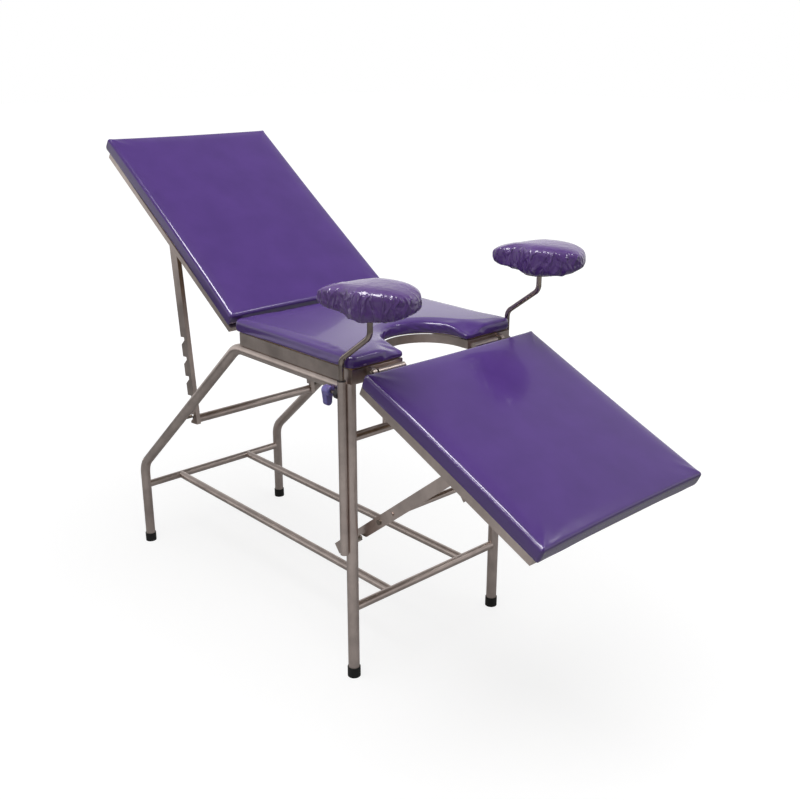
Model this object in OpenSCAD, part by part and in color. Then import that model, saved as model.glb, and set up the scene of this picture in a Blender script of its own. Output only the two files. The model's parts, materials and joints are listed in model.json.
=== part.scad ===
// Examination table with a raised backrest, a lowered leg section and two leg rests.
// Lengths in millimetres. X runs from the head end to the foot end, Z is up.
// The origin is on the floor, under the middle of the table's length.

/* [Main frame] */
// Outside diameter of the frame tubes
tube_d = 28.6; // [24:0.1:32]
// Wall of the frame tubes
tube_wall = 2; // [1.2:0.1:3]
// Distance from the rear feet to the front feet
foot_span = 1014; // [960:1:1060]
// Distance between the near and the far frame tubes, centre to centre
frame_width = 508; // [500:1:516]
// Height of the centre of the top rails
rail_height = 761; // [756:1:764]
// Rise of the rear legs' lean, from its lower corner to the rail
lean_rise = 498.4; // [480:0.1:520]
// Distance from the rear feet to the corner between the lean and the rail
rail_start = 559; // [540:1:575]
// Centre-line radius of the bends in the frame tubes
bend_radius = 70; // [50:1:80]

/* [Stretchers and feet] */
// Outside diameter of the stretchers
stretcher_d = 22; // [18:0.5:25]
// Drop from the lean's lower corner to the lower stretchers
stretcher_drop = 70.6; // [50:0.1:110]
// Distance between the two long stretchers, centre to centre
stretcher_spacing = 258; // [180:1:320]
// Drop from the rails to the upper cross tube between the front legs
upper_cross_drop = 121; // [105:1:160]
// Outside diameter of the rubber feet
foot_d = 33; // [31.6:0.1:36]
// Height of the rubber feet
foot_height = 26; // [18:1:34]
// Rubber under the end of a leg
foot_sole = 5; // [3:0.5:8]

/* [Seat] */
// Start of the seat frame, from the rear feet
seat_start = 589; // [586:1:594]
// How far the seat frame runs past the front legs
seat_frame_reach = 21; // [16:1:22]
// How far the seat frame stands out past each side tube's middle
seat_frame_side = 10; // [6:0.5:12]
// Height of the seat frame
seat_frame_height = 34; // [30:1:35]
// Start of the seat cushion, from the rear feet
seat_cushion_start = 566; // [565:1:575]
// How far the seat cushion runs past the front legs
seat_cushion_reach = 23; // [16:1:26]
// How far the seat cushion stands out past each side tube's middle
seat_cushion_side = 15; // [6:0.5:15.5]
// Thickness of the seat cushion at its middle
seat_cushion_thick = 37; // [30:1:42]
// Half width of the cut-out in the front edge of the seat
cutout_radius = 110; // [80:1:125]
// Distance of the cut-out's centre behind the front legs
cutout_set_back = 12; // [0:1:29]
// Height of the steel strip round the cut-out
cutout_band_height = 22; // [14:1:30]

/* [Backrest] */
// Distance of the backrest hinge from the rear feet
back_hinge_x = 560; // [557:1:562]
// Angle of the backrest above level
back_angle = 34.8; // [0:0.1:34.8]
// Length of the backrest frame
back_frame_length = 700; // [660:1:740]
// How far the backrest frame stands out past each side tube's middle
back_frame_side = 9; // [0:0.5:11]
// Length of the backrest cushion
back_cushion_length = 715; // [680:1:760]
// How far the backrest cushion stands out past each side tube's middle
back_cushion_side = 15; // [6:0.5:18]
// Thickness of the backrest cushion at its middle
back_cushion_thick = 44; // [36:1:48]

/* [Backrest racks] */
// Width of the notched leg of the rack's angle iron
rack_width = 33; // [31:1:36]
// Distance from the rack's pivot to the notch on the peg
rack_reach = 558; // [550:1:566]
// Distance between two notches of a rack
rack_pitch = 57.5; // [50:0.5:60]
// Depth of a rack notch
notch_depth = 18; // [14:0.5:19]
// Distance from a side tube's middle to the outer face of its rack
rack_inset = 37; // [35:0.5:42]

/* [Leg section] */
// Distance of the leg section hinge in front of the front legs
leg_hinge_reach = 34; // [33:1:38]
// Angle of the leg section below level
leg_angle = 24.1; // [0:0.1:24.1]
// Length of the leg section frame
leg_frame_length = 556; // [520:1:580]
// How far the leg section frame stands out past each side tube's middle
leg_frame_side = 16; // [6:0.5:20]
// Length of the leg section cushion
leg_cushion_length = 569; // [540:1:600]
// How far the leg section cushion stands out past each side tube's middle
leg_cushion_side = 26; // [16:0.5:28]
// Thickness of the leg section cushion at its middle
leg_cushion_thick = 46; // [38:1:50]

/* [Leg section props] */
// Width of the prop bars
prop_width = 28; // [24:1:30]
// Thickness of the prop bars
prop_thick = 4.5; // [3:0.5:5]
// Distance from the prop's pivot to its lower end
prop_length = 541; // [530:1:550]
// Distance from a side tube's middle to the outer face of its prop
prop_inset = 28.5; // [24:0.5:34]
// Distance from the prop's pivot to the notch on the peg
prop_reach = 426; // [420:1:432]
// Angle of the props above level
prop_slope = 39; // [38:0.5:40]

/* [Leg rests] */
// Outside diameter of the guide tubes on the front legs
guide_d = 20; // [19:0.1:22]
// Length of the guide tubes
guide_length = 435; // [330:1:460]
// Height of the guide tubes' upper end over the middle of the rails
guide_rise = 22; // [19:1:25]
// Diameter of the leg rest rods
rod_d = 13; // [12:0.1:13.4]
// Height of the near rod's lower bend over the middle of the rails
near_bend_rise = 73; // [67:1:140]
// Height by which the far leg rest stands above the near one
far_rest_lift = 18; // [0:1:60]
// Sideways reach of a rod's crank
crank_reach = 100; // [60:1:110]
// Rise of a rod's crank
crank_rise = 73; // [60:1:90]
// Length of a leg rest pad
pad_length = 231; // [215:1:250]
// Width of a leg rest pad
pad_width = 154; // [140:1:170]
// Thickness of a leg rest pad
pad_thick = 80; // [66:1:90]
// Direction of a pad's long axis, from the foot end towards the far side
pad_turn = 27; // [0:1:45]

/* [Clamps] */
// Drop from the middle of the rails to the clamp screws
clamp_drop = 11.5; // [11:0.1:14]
// Length of a clamp lever, from the axis of its screw to its tip
lever_reach = 36; // [26:1:40]
// Depth of a clamp lever's hub
hub_depth = 20; // [14:1:24]
// Diameter of the clamp screws
screw_d = 8; // [6:0.5:8]

/* [Hidden] */
$fn = 48;

// Colours
steel = [0.59, 0.54, 0.50];
dark_steel = [0.45, 0.41, 0.38];
vinyl = [0.36, 0.27, 0.54];
knob_lilac = [0.45, 0.41, 0.69];
rubber_black = [0.08, 0.08, 0.08];
plywood = [0.72, 0.58, 0.40];
nylon = [0.85, 0.85, 0.82];

// Clearances and small sizes
overrun = 1;
running_clearance = 0.05;
side_clearance = 0.5;
plate_thick = 5;
sheet_thick = 3;
flange_width = 30;
board_thick = 10;
board_inset = 8;
bolt_d = 10;
bolt_head_d = 15;
bolt_head_thick = 5;
lug_radius = 12;
lug_drop = 0.5;
peg_d = 10;
hull_fn = 32;
bend_swell = 0.3;
bend_entry = 2;

// Places worked out from the driving sizes
half_width = frame_width / 2;
seat_end = foot_span + seat_frame_reach;
seat_cushion_end = foot_span + seat_cushion_reach;
cutout_centre = foot_span - cutout_set_back;
leg_hinge_x = foot_span + leg_hinge_reach;
seat_frame_width = frame_width + 2 * seat_frame_side;
seat_cushion_width = frame_width + 2 * seat_cushion_side;
back_frame_width = frame_width + 2 * back_frame_side;
back_cushion_width = frame_width + 2 * back_cushion_side;
leg_frame_width = frame_width + 2 * leg_frame_side;
leg_cushion_width = frame_width + 2 * leg_cushion_side;
rack_spacing = frame_width - 2 * rack_inset;
prop_spacing = frame_width - 2 * prop_inset;
rail_top = rail_height + tube_d / 2;
lean_height = rail_height - lean_rise;
stretcher_height = lean_height - stretcher_drop;
upper_cross_height = rail_height - upper_cross_drop;
seat_top = rail_top + seat_frame_height;
hinge_height = seat_top - lug_radius - lug_drop;
guide_y = half_width + tube_d / 2 + guide_d / 2;
guide_top = rail_height + guide_rise;
guide_bottom = guide_top - guide_length;
clamp_height = rail_height - clamp_drop;
near_bend_height = rail_height + near_bend_rise;
guide_wall = 1.5;
guide_bore_d = guide_d - 2 * guide_wall;
bush_wall_top = 2;
bush_length = 85;
rack_tilt = 5.7;
peg_depth = 8.2;
rack_thick = 4;

// Backrest panel: u runs from the hinge along the panel, v stands on it
back_frame_u = 20;
back_frame_v = 5;
back_frame_height = 15;
back_cushion_u = 27;
rack_pivot_u = 434;
rack_pivot_v = -12;
cross_strap_gap = 20;
cross_strap_thick = 4;

// Leg section panel
leg_frame_u = 30;
leg_frame_v = 1;
leg_frame_height = 24;
leg_cushion_u = 34;
prop_pivot_u = 327;
prop_pivot_v = -15;

function along(angle, u, v) = [u * cos(angle) + v * sin(angle), v * cos(angle) - u * sin(angle)];

rack_pivot = [back_hinge_x - rack_pivot_u * cos(back_angle) + rack_pivot_v * sin(back_angle),
              hinge_height + rack_pivot_u * sin(back_angle) + rack_pivot_v * cos(back_angle)];
prop_pivot = [leg_hinge_x, hinge_height] + along(leg_angle, prop_pivot_u, prop_pivot_v);

// Ends of the table, for the origin in the middle of its length
head_end = back_hinge_x - (back_cushion_u + back_cushion_length) * cos(back_angle)
           + back_frame_v * sin(back_angle);
foot_end = leg_hinge_x + along(leg_angle, leg_cushion_u + leg_cushion_length,
                               leg_frame_v + leg_cushion_thick / 2)[0];
mid_x = (head_end + foot_end) / 2;

module table() translate([-mid_x, 0, 0]) children();

// Both sides: the near side is drawn, the far side is its mirror image
module both_sides() {
    children();
    mirror([0, 1, 0]) children();
}

function unit(v) = v / norm(v);
function turn(a, b, c) = let (p = b - a, q = c - b)
    atan2(p[1] * q[0] - p[0] * q[1], p[0] * q[0] + p[1] * q[1]);
function setback(a, b, c, r) = r * tan(abs(turn(a, b, c)) / 2);
function corner_turns(points) = [for (i = [1 : len(points) - 2])
    turn(points[i - 1], points[i], points[i + 1])];
function straight_lengths(points, r) = let (last = len(points) - 1)
    [for (i = [0 : last - 1])
        norm(points[i + 1] - points[i])
        - (i == 0 ? 0 : setback(points[i - 1], points[i], points[i + 1], r))
        - (i == last - 1 ? 0 : setback(points[i], points[i + 1], points[i + 2], r))];

// A bend that leaves +Z and leans by an angle towards +X
module bend(angle, r, d) {
    translate([sign(angle) * r, 0, 0])
        rotate([90, 0, 0])
            rotate([0, 0, angle > 0 ? 180 - angle : 0])
                rotate_extrude(angle = abs(angle))
                    translate([r, 0])
                        circle(d = d);
}

// Straight stretches joined by bends, each drawn from the end of the one before
module bent_path(lengths, turns, r, d, bend_d, i = 0) {
    first = i == 0 ? 0 : bend_entry;
    last = i < len(turns) ? bend_entry : 0;
    translate([0, 0, -first])
        cylinder(h = first + lengths[i] + last, d = d);
    if (i < len(turns))
        translate([0, 0, lengths[i]]) {
            side = sign(turns[i]) * r;
            bend(turns[i], r, bend_d);
            translate([side, 0, 0])
                rotate([0, turns[i], 0])
                    translate([-side, 0, 0])
                        bent_path(lengths, turns, r, d, bend_d, i + 1);
        }
}

// A bar bent along the points of the XZ plane; it swells a little in its bends
module bent_bar(points, r, d, swell) {
    run = points[1] - points[0];
    translate([points[0][0], 0, points[0][1]])
        rotate([0, atan2(run[0], run[1]), 0])
            bent_path(straight_lengths(points, r), corner_turns(points), r, d, d + swell);
}

// A bent tube, open at both ends
module bent_tube(points, r, d, wall) {
    last = len(points) - 1;
    longer = [for (i = [0 : last])
        i == 0 ? points[0] - overrun * unit(points[1] - points[0])
        : i == last ? points[last] + overrun * unit(points[last] - points[last - 1])
        : points[i]];
    difference() {
        bent_bar(points, r, d, bend_swell);
        bent_bar(longer, r, d - 2 * wall, -bend_swell);
    }
}

// A tube along Y between two ends
module cross_tube_blank(x, z, length, d, wall) {
    translate([x, length / 2, z])
        rotate([90, 0, 0])
            difference() {
                cylinder(h = length, d = d);
                translate([0, 0, -overrun])
                    cylinder(h = length + 2 * overrun, d = d - 2 * wall);
            }
}

// The outside of an upright leg, used to fit tubes against it
module leg_blank(x, side) {
    translate([x, side * half_width, 0])
        cylinder(h = rail_top, d = tube_d);
}

// The rear leg, its lean and the top rail are one bent tube on each side
module side_tube(side) {
    color(steel) table()
        difference() {
            translate([0, side * half_width, 0])
                bent_tube([[0, foot_sole], [0, lean_height], [rail_start, rail_height],
                           [foot_span, rail_height]], bend_radius, tube_d, tube_wall);
            leg_blank(foot_span, side);
        }
}

module front_leg(side) {
    color(steel) table()
        translate([foot_span, side * half_width, foot_sole])
            difference() {
                cylinder(h = rail_top - foot_sole, d = tube_d);
                translate([0, 0, -overrun])
                    cylinder(h = rail_top - foot_sole - tube_wall + overrun,
                             d = tube_d - 2 * tube_wall);
            }
}

module cross_tube(x, z) {
    color(steel) table()
        difference() {
            cross_tube_blank(x, z, frame_width, stretcher_d, tube_wall);
            for (side = [-1, 1]) leg_blank(x, side);
        }
}

// A long stretcher runs between the rear and the front stretcher
module floor_tube(side) {
    color(steel) table()
        difference() {
            translate([0, side * stretcher_spacing / 2, stretcher_height])
                rotate([0, 90, 0])
                    difference() {
                        cylinder(h = foot_span, d = stretcher_d);
                        translate([0, 0, -overrun])
                            cylinder(h = foot_span + 2 * overrun,
                                     d = stretcher_d - 2 * tube_wall);
                    }
            for (x = [0, foot_span])
                translate([x, frame_width / 2, stretcher_height])
                    rotate([90, 0, 0])
                        cylinder(h = frame_width, d = stretcher_d);
        }
}

// A small lug with a hole stands on the upper cross tube
lug_plate_inset = 114;
lug_plate_y = lug_plate_inset - half_width;
lug_plate_length = 26;
lug_plate_height = 30;
lug_hole_d = 9;
module cross_tube_lug() {
    top = upper_cross_height + stretcher_d / 2;
    color(steel) table()
        difference() {
            translate([foot_span - plate_thick / 2, lug_plate_y - lug_plate_length / 2,
                       upper_cross_height])
                cube([plate_thick, lug_plate_length, stretcher_d / 2 + lug_plate_height]);
            translate([foot_span, 0, upper_cross_height])
                rotate([90, 0, 0])
                    cylinder(h = frame_width, d = stretcher_d);
            translate([foot_span - plate_thick, lug_plate_y, top + lug_plate_height / 2])
                rotate([0, 90, 0])
                    cylinder(h = 2 * plate_thick, d = lug_hole_d);
        }
}

module foot_cap(x) {
    translate([x, -half_width, 0])
        difference() {
            cylinder(h = foot_height, d = foot_d);
            translate([0, 0, foot_sole])
                cylinder(h = foot_height, d = tube_d + 2 * running_clearance);
        }
}

module foot_caps() {
    color(rubber_black) table()
        both_sides()
            for (x = [0, foot_span]) foot_cap(x);
}

// The pegs stand inward from the legs and stop just short of the bars that hook on them
rack_peg = rack_pivot + rack_reach * [sin(rack_tilt), -cos(rack_tilt)]
           - (rack_width / 2 - peg_depth) * [cos(rack_tilt), sin(rack_tilt)];
peg_side_gap = 0.4;
module rack_pegs() {
    lean = atan2(lean_rise, rail_start);
    inner = rack_spacing / 2 + peg_side_gap;
    color(dark_steel) table()
        both_sides()
            difference() {
                translate([rack_peg[0], -inner, rack_peg[1]])
                    rotate([90, 0, 0])
                        cylinder(h = half_width - inner, d = peg_d);
                translate([0, -half_width, lean_height])
                    rotate([0, 90 - lean, 0])
                        cylinder(h = rail_start, d = tube_d);
            }
}

prop_lower_offset = 7.4;
prop_down = [-cos(prop_slope), -sin(prop_slope)];
prop_under = [sin(prop_slope), -cos(prop_slope)];
prop_peg = prop_pivot + prop_reach * prop_down + prop_lower_offset * prop_under;
module prop_pegs() {
    inner = prop_spacing / 2 + peg_side_gap;
    color(dark_steel) table()
        both_sides()
            difference() {
                translate([prop_peg[0], -inner, prop_peg[1]])
                    rotate([90, 0, 0])
                        cylinder(h = half_width - inner, d = peg_d);
                leg_blank(foot_span, -1);
            }
}

// Guide tubes for the leg rests, welded along the front legs
module guide_tube(side) {
    color(steel) table()
        translate([foot_span, side * guide_y, 0])
            difference() {
                translate([0, 0, guide_bottom])
                    cylinder(h = guide_top - guide_bottom, d = guide_d);
                translate([0, 0, guide_bottom - overrun])
                    cylinder(h = guide_top - guide_bottom + 2 * overrun, d = guide_bore_d);
                translate([0, 0, clamp_height])
                    rotate([0, -90, 0])
                        cylinder(h = guide_d, d = screw_d + 2 * running_clearance);
            }
}

collar_d = 22.6;
collar_thick = 8;
module clamp_collars() {
    color(rubber_black) table()
        both_sides()
            difference() {
                translate([foot_span - guide_d / 2 - collar_thick, -guide_y, clamp_height])
                    rotate([0, 90, 0])
                        cylinder(h = collar_thick + guide_d / 4, d = collar_d);
                translate([foot_span, -guide_y, guide_bottom])
                    cylinder(h = guide_top - guide_bottom, d = guide_d);
                leg_blank(foot_span, -1);
                translate([foot_span, -guide_y, clamp_height])
                    rotate([0, -90, 0])
                        cylinder(h = guide_d + 2 * collar_thick,
                                 d = screw_d + 2 * running_clearance);
            }
}

// A frame of angle iron: walls outside and a flange at the top
module angle_ring(length, width, height) {
    translate([0, -width / 2, -height])
        difference() {
            cube([length, width, height]);
            translate([sheet_thick, sheet_thick, -overrun])
                cube([length - 2 * sheet_thick, width - 2 * sheet_thick,
                      height - sheet_thick + overrun]);
            translate([flange_width, flange_width, 0])
                cube([length - 2 * flange_width, width - 2 * flange_width, height + overrun]);
        }
}

// The space of the seat's cut-out: a half round with straight sides to the front
module cutout(r) {
    translate([cutout_centre, 0, 0])
        cylinder(h = 2 * seat_top, r = r);
    translate([cutout_centre, -r, 0])
        cube([seat_end - cutout_centre + seat_frame_height, 2 * r, 2 * seat_top]);
}

module seat_frame() {
    color(steel) table()
        difference() {
            translate([seat_start, 0, seat_top])
                angle_ring(seat_end - seat_start, seat_frame_width, seat_frame_height);
            cutout(cutout_radius + sheet_thick);
        }
}

module cutout_band() {
    color(steel) table()
        intersection() {
            difference() {
                cutout(cutout_radius + sheet_thick);
                cutout(cutout_radius);
            }
            translate([seat_start, -seat_frame_width / 2, seat_top - cutout_band_height])
                cube([seat_end - seat_start, seat_frame_width, cutout_band_height]);
        }
}

// A flat panel with round corners, from x = 0, standing on z = 0
module rounded_panel(length, width, thick, corner) {
    translate([length / 2, 0, 0])
        linear_extrude(height = thick)
            offset(r = corner, $fn = hull_fn)
                square([length - 2 * corner, width - 2 * corner], center = true);
}

// A stuffed cushion: drawn in at its foot, widest at mid height, crowned on top
draw_in = 3;
shoulder = 7;
crown_inset = 70;
crown_rise = 4;
slice = 0.5;
module cushion(length, width, thick, corner) {
    hull() {
        translate([draw_in, 0, 0])
            rounded_panel(length - 2 * draw_in, width - 2 * draw_in, slice, corner);
        translate([0, 0, thick * mid_share])
            rounded_panel(length, width, slice, corner + draw_in);
        translate([shoulder, 0, thick - crown_rise - slice])
            rounded_panel(length - 2 * shoulder, width - 2 * shoulder, slice, corner);
        translate([crown_inset, 0, thick - slice])
            rounded_panel(length - 2 * crown_inset, width - 2 * crown_inset, slice, corner);
    }
}
mid_share = 0.5;
cushion_corner = 12;

// The pocket under a cushion that holds its board
module board_pocket(length, width) {
    translate([board_inset, -width / 2 + board_inset, -overrun])
        cube([length - 2 * board_inset, width - 2 * board_inset, board_thick + overrun]);
}

module board(length, width) {
    translate([board_inset, -width / 2 + board_inset, 0])
        cube([length - 2 * board_inset, width - 2 * board_inset, board_thick]);
}

seat_corner = 26;
module seat_board() {
    color(plywood) table()
        difference() {
            translate([seat_cushion_start, 0, seat_top])
                board(seat_cushion_end - seat_cushion_start, seat_cushion_width);
            cutout(cutout_radius + board_inset);
        }
}

module seat_cushion() {
    length = seat_cushion_end - seat_cushion_start;
    color(vinyl) table()
        difference() {
            translate([seat_cushion_start, 0, seat_top])
                difference() {
                    cushion(length, seat_cushion_width, seat_cushion_thick, seat_corner);
                    difference() {
                        board_pocket(length, seat_cushion_width);
                        translate([-seat_cushion_start, 0, -seat_top])
                            cutout(cutout_radius + board_inset);
                    }
                }
            cutout(cutout_radius);
        }
}

// Panels hang on their hinges: children lie along +X from the hinge
module back_panel() {
    table()
        translate([back_hinge_x, 0, hinge_height])
            rotate([0, back_angle, 0])
                mirror([1, 0, 0])
                    children();
}

module leg_panel() {
    table()
        translate([leg_hinge_x, 0, hinge_height])
            rotate([0, leg_angle, 0])
                children();
}

// A plate with a round end and a bolt hole, from its hole along +X
module eye_plate(y, reach, low, high) {
    translate([0, y, 0])
        rotate([90, 0, 0])
            linear_extrude(height = plate_thick)
                difference() {
                    union() {
                        circle(r = lug_radius);
                        translate([0, low])
                            square([reach, high - low]);
                    }
                    circle(d = bolt_d + 2 * running_clearance);
                }
}

// A bolt along Y with its head outside and its nut inside
module cross_bolt(outer, inner) {
    translate([0, -inner, 0])
        rotate([90, 0, 0])
            cylinder(h = outer - inner, d = bolt_d);
    translate([0, -outer, 0])
        rotate([90, 0, 0])
            cylinder(h = bolt_head_thick, d = bolt_head_d);
    translate([0, -inner + bolt_head_thick, 0])
        rotate([90, 0, 0])
            cylinder(h = bolt_head_thick, d = bolt_head_d, $fn = 6);
}

hinge_inset = 34;
hinge_y = half_width - hinge_inset;
ear_y = hinge_y - plate_thick - side_clearance;

module back_hinge_lugs() {
    color(steel) table()
        both_sides()
            translate([back_hinge_x, 0, hinge_height])
                eye_plate(-hinge_y + plate_thick, seat_start - back_hinge_x,
                          -lug_radius, lug_radius);
}

module back_hinge_bolts() {
    color(dark_steel) table()
        both_sides()
            translate([back_hinge_x, 0, hinge_height])
                cross_bolt(hinge_y, ear_y - plate_thick - side_clearance);
}

module leg_hinge_lugs() {
    color(steel) table()
        both_sides()
            translate([leg_hinge_x, 0, hinge_height])
                mirror([1, 0, 0])
                    eye_plate(-hinge_y + plate_thick, leg_hinge_x - seat_end,
                              -lug_radius, lug_radius);
}

// A hinge barrel is welded along each horn of the seat frame, between the cut-out and the ears
barrel_d = 16;
barrel_web = 5;
barrel_gap = 4;
module leg_hinge_barrels() {
    inner = cutout_radius + sheet_thick + barrel_gap;
    outer = ear_y - plate_thick - barrel_gap - bolt_head_thick;
    color(steel) table()
        both_sides() {
            translate([leg_hinge_x, -inner, hinge_height])
                rotate([90, 0, 0])
                    cylinder(h = outer - inner, d = barrel_d);
            translate([seat_end, -outer, hinge_height - barrel_web / 2])
                cube([leg_hinge_x - seat_end, outer - inner, barrel_web]);
        }
}

module leg_hinge_bolts() {
    color(dark_steel) table()
        both_sides()
            translate([leg_hinge_x, 0, hinge_height])
                cross_bolt(hinge_y, ear_y - plate_thick - side_clearance);
}

// A flat strap across a panel frame carries the ears of its prop
module cross_strap(u, width, top) {
    translate([u, -width / 2 + sheet_thick, top - sheet_thick - cross_strap_thick])
        cube([flange_width, width - 2 * sheet_thick, cross_strap_thick]);
}

module back_frame() {
    color(steel) back_panel() {
        translate([back_frame_u, 0, back_frame_v])
            angle_ring(back_frame_length, back_frame_width, back_frame_height);
        cross_strap(rack_pivot_u + cross_strap_gap, back_frame_width, back_frame_v);
    }
}

module back_board() {
    color(plywood) back_panel()
        translate([back_cushion_u, 0, back_frame_v])
            board(back_cushion_length, back_cushion_width);
}

module back_cushion() {
    color(vinyl) back_panel()
        translate([back_cushion_u, 0, back_frame_v])
            difference() {
                cushion(back_cushion_length, back_cushion_width, back_cushion_thick,
                        cushion_corner);
                board_pocket(back_cushion_length, back_cushion_width);
            }
}

module back_hinge_ears() {
    color(steel) back_panel()
        both_sides()
            eye_plate(-ear_y + plate_thick, back_frame_u, back_frame_v - back_frame_height,
                      back_frame_v);
}

rack_ear_y = rack_spacing / 2 + side_clearance + plate_thick;
module rack_ears() {
    strap_bottom = back_frame_v - sheet_thick - cross_strap_thick;
    color(steel) back_panel()
        both_sides()
            translate([rack_pivot_u, 0, rack_pivot_v])
                eye_plate(-rack_ear_y + plate_thick, cross_strap_gap + flange_width,
                          -lug_radius, strap_bottom - rack_pivot_v);
}

module rack_bolts() {
    color(dark_steel) back_panel()
        both_sides()
            translate([rack_pivot_u, 0, rack_pivot_v])
                cross_bolt(rack_ear_y, rack_spacing / 2 - rack_thick - side_clearance);
}

// A rack is an angle iron with five saw notches in its rear edge
notch_count = 5;
notch_height = 17;
notch_lip = 6;
rack_tail = 22;
rack_front_start = 24;
rack_flange = 13;
module rack_notch() {
    polygon([[-overrun, 0], [notch_depth, 0], [notch_depth, -notch_height / 2],
             [-overrun, -notch_height - notch_lip]]);
}

module rack(side) {
    rear = -rack_width / 2;
    front = rack_width / 2;
    length = rack_reach + rack_tail;
    inner = rack_spacing / 2 - rack_thick;
    color(steel) table()
        translate([rack_pivot[0], 0, rack_pivot[1]])
            rotate([0, -rack_tilt, 0])
                scale([1, -side, 1]) {
                    translate([0, -inner, 0])
                        rotate([90, 0, 0])
                            linear_extrude(height = rack_thick)
                                difference() {
                                    union() {
                                        circle(d = rack_width);
                                        translate([rear, -length])
                                            square([rack_width, length]);
                                    }
                                    circle(d = bolt_d + 2 * running_clearance);
                                    for (i = [0 : notch_count - 1])
                                        translate([rear, -rack_reach + i * rack_pitch
                                                         + peg_d / 2 + side_clearance])
                                            rack_notch();
                                }
                    translate([front - rack_thick, -inner, -length])
                        cube([rack_thick, rack_flange - rack_thick, length - rack_front_start]);
                }
}

// The racks are joined at their lower ends by a tube
cross_bar_d = 25;
module rack_cross_bar() {
    half = rack_spacing / 2 - rack_thick;
    low = -rack_reach - rack_tail;
    color(steel) table()
        translate([rack_pivot[0], 0, rack_pivot[1]])
            rotate([0, -rack_tilt, 0])
                translate([rack_width / 2 - rack_thick - side_clearance - cross_bar_d / 2,
                           half, low + cross_bar_d / 2])
                    rotate([90, 0, 0])
                        difference() {
                            cylinder(h = 2 * half, d = cross_bar_d);
                            translate([0, 0, -overrun])
                                cylinder(h = 2 * half + 2 * overrun,
                                         d = cross_bar_d - 2 * tube_wall);
                        }
}

module leg_frame() {
    color(steel) leg_panel() {
        translate([leg_frame_u, 0, leg_frame_v])
            angle_ring(leg_frame_length, leg_frame_width, leg_frame_height);
        cross_strap(prop_pivot_u + cross_strap_gap, leg_frame_width, leg_frame_v);
    }
}

module leg_board() {
    color(plywood) leg_panel()
        translate([leg_cushion_u, 0, leg_frame_v])
            board(leg_cushion_length, leg_cushion_width);
}

module leg_cushion() {
    color(vinyl) leg_panel()
        translate([leg_cushion_u, 0, leg_frame_v])
            difference() {
                cushion(leg_cushion_length, leg_cushion_width, leg_cushion_thick,
                        cushion_corner);
                board_pocket(leg_cushion_length, leg_cushion_width);
            }
}

module leg_hinge_ears() {
    color(steel) leg_panel()
        both_sides()
            eye_plate(-ear_y + plate_thick, leg_frame_u, -lug_radius, leg_frame_v);
}

prop_ear_y = prop_spacing / 2 + side_clearance + plate_thick;
module prop_ears() {
    strap_bottom = leg_frame_v - sheet_thick - cross_strap_thick;
    color(steel) leg_panel()
        both_sides()
            translate([prop_pivot_u, 0, prop_pivot_v])
                eye_plate(-prop_ear_y + plate_thick, cross_strap_gap + flange_width,
                          -lug_radius, strap_bottom - prop_pivot_v);
}

module prop_bolts() {
    color(dark_steel) leg_panel()
        both_sides()
            translate([prop_pivot_u, 0, prop_pivot_v])
                cross_bolt(prop_ear_y, prop_spacing / 2 - prop_thick - side_clearance);
}

// A prop is a flat bar from its pivot, with saw notches under its lower half and a hooked end
prop_notch_pitch = 44;
prop_notch_count = 3;
prop_notch_depth = 13;
prop_notch_height = 15;
hook_cut = 10;
module prop_notch() {
    polygon([[0, overrun], [0, -prop_notch_depth], [-prop_notch_height / 2, -prop_notch_depth],
             [-prop_notch_height - hook_cut, overrun]]);
}

// Prop space: x runs down the bar from its pivot, y towards its upper edge
module prop_place(y) {
    table()
        translate([prop_pivot[0], y, prop_pivot[1]])
            rotate([0, 180 - prop_slope, 0])
                rotate([90, 0, 0])
                    children();
}

module prop(side) {
    low = prop_width / 2;
    outer = side < 0 ? -prop_spacing / 2 + prop_thick : prop_spacing / 2;
    color(steel)
        prop_place(outer)
            linear_extrude(height = prop_thick)
                difference() {
                    union() {
                        circle(d = prop_width);
                        translate([0, -prop_width / 2])
                            square([prop_length, prop_width]);
                    }
                    circle(d = bolt_d + 2 * running_clearance);
                    for (i = [0 : prop_notch_count - 1])
                        translate([prop_reach + i * prop_notch_pitch + peg_d / 2
                                   + side_clearance, low])
                            prop_notch();
                    for (x = rivet_places) translate([x, 0]) circle(d = rivet_d);
                    translate([rod_place, 0]) circle(d = cross_rod_pin_d);
                }
}

rivet_places = [335];
rivet_d = 8;
rivet_head_d = 13;
rivet_head_thick = 3;
rod_place = 277;
cross_rod_d = 16;
cross_rod_pin_d = 10;
module prop_cross_rod() {
    inner = prop_spacing / 2 - prop_thick;
    color(steel)
        prop_place(inner)
            translate([rod_place, 0, 0]) {
                cylinder(h = 2 * inner, d = cross_rod_d);
                translate([0, 0, -prop_thick - rivet_head_thick])
                    cylinder(h = 2 * (inner + prop_thick + rivet_head_thick),
                             d = cross_rod_pin_d);
            }
}

module prop_rivets() {
    outer = prop_spacing / 2;
    color(dark_steel)
        both_sides()
            prop_place(-outer + prop_thick)
                for (x = rivet_places)
                    translate([x, 0, -rivet_head_thick]) {
                        cylinder(h = prop_thick + 2 * rivet_head_thick, d = rivet_d);
                        cylinder(h = rivet_head_thick, d = rivet_head_d);
                        translate([0, 0, prop_thick + rivet_head_thick])
                            cylinder(h = rivet_head_thick, d = rivet_head_d);
                    }
}

// Leg rests: a bush turns in each guide tube, a cranked rod slides in it, a pad swivels on top
crank_radius = 26;
rod_below_bend = 300;
pad_gap = 41;
socket_depth = 22;
socket_wall = 3;
socket_plate_d = 76;
socket_plate_thick = 3;
rod_r = rod_d / 2;

function lift(side) = side < 0 ? 0 : far_rest_lift;
function pad_bottom(side) = near_bend_height + crank_rise + pad_gap + lift(side);

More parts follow.
